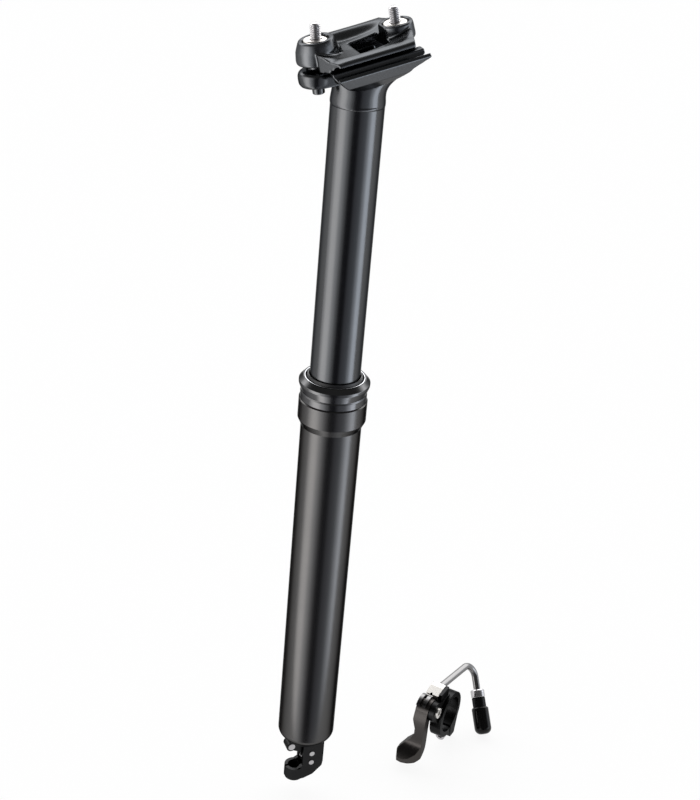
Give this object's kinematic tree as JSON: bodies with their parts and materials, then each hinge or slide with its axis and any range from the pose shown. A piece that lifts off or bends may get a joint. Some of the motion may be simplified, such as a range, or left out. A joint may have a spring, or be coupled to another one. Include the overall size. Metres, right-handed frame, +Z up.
{
  "type": "dropper seatpost",
  "caption": "Black telescopic bicycle seatpost with a sliding upper tube, tilting saddle rail clamp, cable release lever at its foot and a separate thumb remote",
  "frame": {"origin": "on the post's axis at the foot of the outer tube's collar, where the insertable round ends", "axes": "+X to the front of the bicycle, +Y to its left side, +Z up along the post"},
  "size_m": [0.1603, 0.0665, 0.4516],
  "materials": {
    "outer_tube": "satin black anodised",
    "collar_cap": "gloss black anodised",
    "wiper_seal": "black moulded",
    "foam_ring": "oiled grey foam",
    "upper_bushing": "low-friction liner",
    "foot_plug": "black anodised",
    "cartridge_rod": "polished",
    "cartridge_piston": "machined",
    "actuator_bracket": "black anodised",
    "lever_pivot_pin": "ground",
    "bracket_rivet": "ground",
    "release_pin": "ground",
    "actuator_lever": "black anodised",
    "cable_barrel": "turned",
    "stanchion_tube": "gloss black hard anodised",
    "lower_bushing": "low-friction liner",
    "guide_keys": "turned",
    "cartridge_cylinder": "machined",
    "cartridge_seal_head": "machined",
    "cartridge_end_plug": "machined",
    "head_forging": "gloss black anodised",
    "front_clamp_bolt": "zinc plated",
    "rear_clamp_bolt": "zinc plated",
    "front_bolt_washer": "plated",
    "rear_bolt_washer": "plated",
    "front_domed_nut": "zinc plated",
    "rear_domed_nut": "zinc plated",
    "lower_cradle": "satin black anodised",
    "upper_clamp": "satin dark grey anodised",
    "bar_clamp": "black anodised",
    "clamp_screw": "dark plated",
    "remote_pivot_screw": "zinc plated",
    "remote_pivot_nut": "plated",
    "lever_bushing": "sintered",
    "remote_lever": "satin dark grey anodised",
    "remote_spring": "spring steel",
    "cable_anchor": "nickel plated",
    "guide_block": "nickel plated",
    "noodle": "polished",
    "noodle_ferrule": "polished",
    "adjuster_barrel": "black anodised",
    "adjuster_knob": "black moulded"
  },
  "bodies": {
    "outer_post": {"outer_tube": "outer_tube", "collar_cap": "collar_cap", "wiper_seal": "wiper_seal", "foam_ring": "foam_ring", "upper_bushing": "upper_bushing", "foot_plug": "foot_plug", "cartridge_rod": "cartridge_rod", "cartridge_piston": "cartridge_piston", "actuator_bracket": "actuator_bracket", "lever_pivot_pin": "lever_pivot_pin", "bracket_rivet": "bracket_rivet", "bar_clamp": "bar_clamp", "clamp_screw": "clamp_screw", "remote_pivot_screw": "remote_pivot_screw", "remote_pivot_nut": "remote_pivot_nut", "remote_spring": "remote_spring", "guide_block": "guide_block", "noodle": "noodle", "noodle_ferrule": "noodle_ferrule", "adjuster_barrel": "adjuster_barrel"},
    "upper_post": {"stanchion_tube": "stanchion_tube", "lower_bushing": "lower_bushing", "guide_keys": "guide_keys", "cartridge_cylinder": "cartridge_cylinder", "cartridge_seal_head": "cartridge_seal_head", "cartridge_end_plug": "cartridge_end_plug", "head_forging": "head_forging", "front_clamp_bolt": "front_clamp_bolt", "rear_clamp_bolt": "rear_clamp_bolt", "front_bolt_washer": "front_bolt_washer", "rear_bolt_washer": "rear_bolt_washer"},
    "saddle_clamp": {"lower_cradle": "lower_cradle", "upper_clamp": "upper_clamp"},
    "front_nut": {"front_domed_nut": "front_domed_nut"},
    "rear_nut": {"rear_domed_nut": "rear_domed_nut"},
    "release_lever": {"actuator_lever": "actuator_lever", "cable_barrel": "cable_barrel"},
    "release_rod": {"release_pin": "release_pin"},
    "thumb_lever": {"remote_lever": "remote_lever", "lever_bushing": "lever_bushing", "cable_anchor": "cable_anchor"},
    "adjuster": {"adjuster_knob": "adjuster_knob"}
  },
  "joints": [
    {"name": "post_slide", "type": "slide", "parent": "outer_post", "child": "upper_post", "axis": [0, 0, 1], "range_m": [-0.14, 0], "stiffness_N_per_m": 400, "springref_m": 0.15},
    {"name": "clamp_tilt", "type": "hinge", "parent": "upper_post", "child": "saddle_clamp", "pos_m": [0.0037, 0, 0.20157], "axis": [0, 1, 0], "range_deg": [-9, 1.5]},
    {"name": "front_nut_turn", "type": "hinge", "parent": "saddle_clamp", "child": "front_nut", "pos_m": [0.02294, 0, 0.19783], "axis": [0, 1, 0], "range_deg": [-1.5, 9]},
    {"name": "rear_nut_turn", "type": "hinge", "parent": "saddle_clamp", "child": "rear_nut", "pos_m": [-0.01554, 0, 0.20531], "axis": [0, 1, 0], "range_deg": [-1.5, 9]},
    {"name": "release_lever_hinge", "type": "hinge", "parent": "outer_post", "child": "release_lever", "pos_m": [-0.0031, 0, -0.2121], "axis": [0, 1, 0], "range_deg": [0, 18], "stiffness_Nm_per_rad": 0.02, "springref_deg": -11.46},
    {"name": "release_pin_slide", "type": "slide", "parent": "outer_post", "child": "release_rod", "axis": [0, 0, 1], "range_m": [-0.001, 0], "stiffness_N_per_m": 0.25, "springref_m": 0.1},
    {"name": "thumb_lever_hinge", "type": "hinge", "parent": "outer_post", "child": "thumb_lever", "pos_m": [-0.07843, -0.00661, -0.2031], "axis": [-0.6561, 0.7547, 0], "range_deg": [0, 22], "stiffness_Nm_per_rad": 0.03, "springref_deg": -17.19},
    {"name": "adjuster_turn", "type": "hinge", "parent": "outer_post", "child": "adjuster", "pos_m": [-0.12394, -0.02789, -0.2169], "axis": [0.0394, 0.6626, -0.748], "range_deg": [-360, 360]}
  ],
  "couplings": [
    {"joint": "front_nut_turn", "follows": "clamp_tilt", "ratio": -1},
    {"joint": "rear_nut_turn", "follows": "clamp_tilt", "ratio": -1},
    {"joint": "release_pin_slide", "follows": "release_lever_hinge", "m_per_rad": -0.0031}
  ]
}
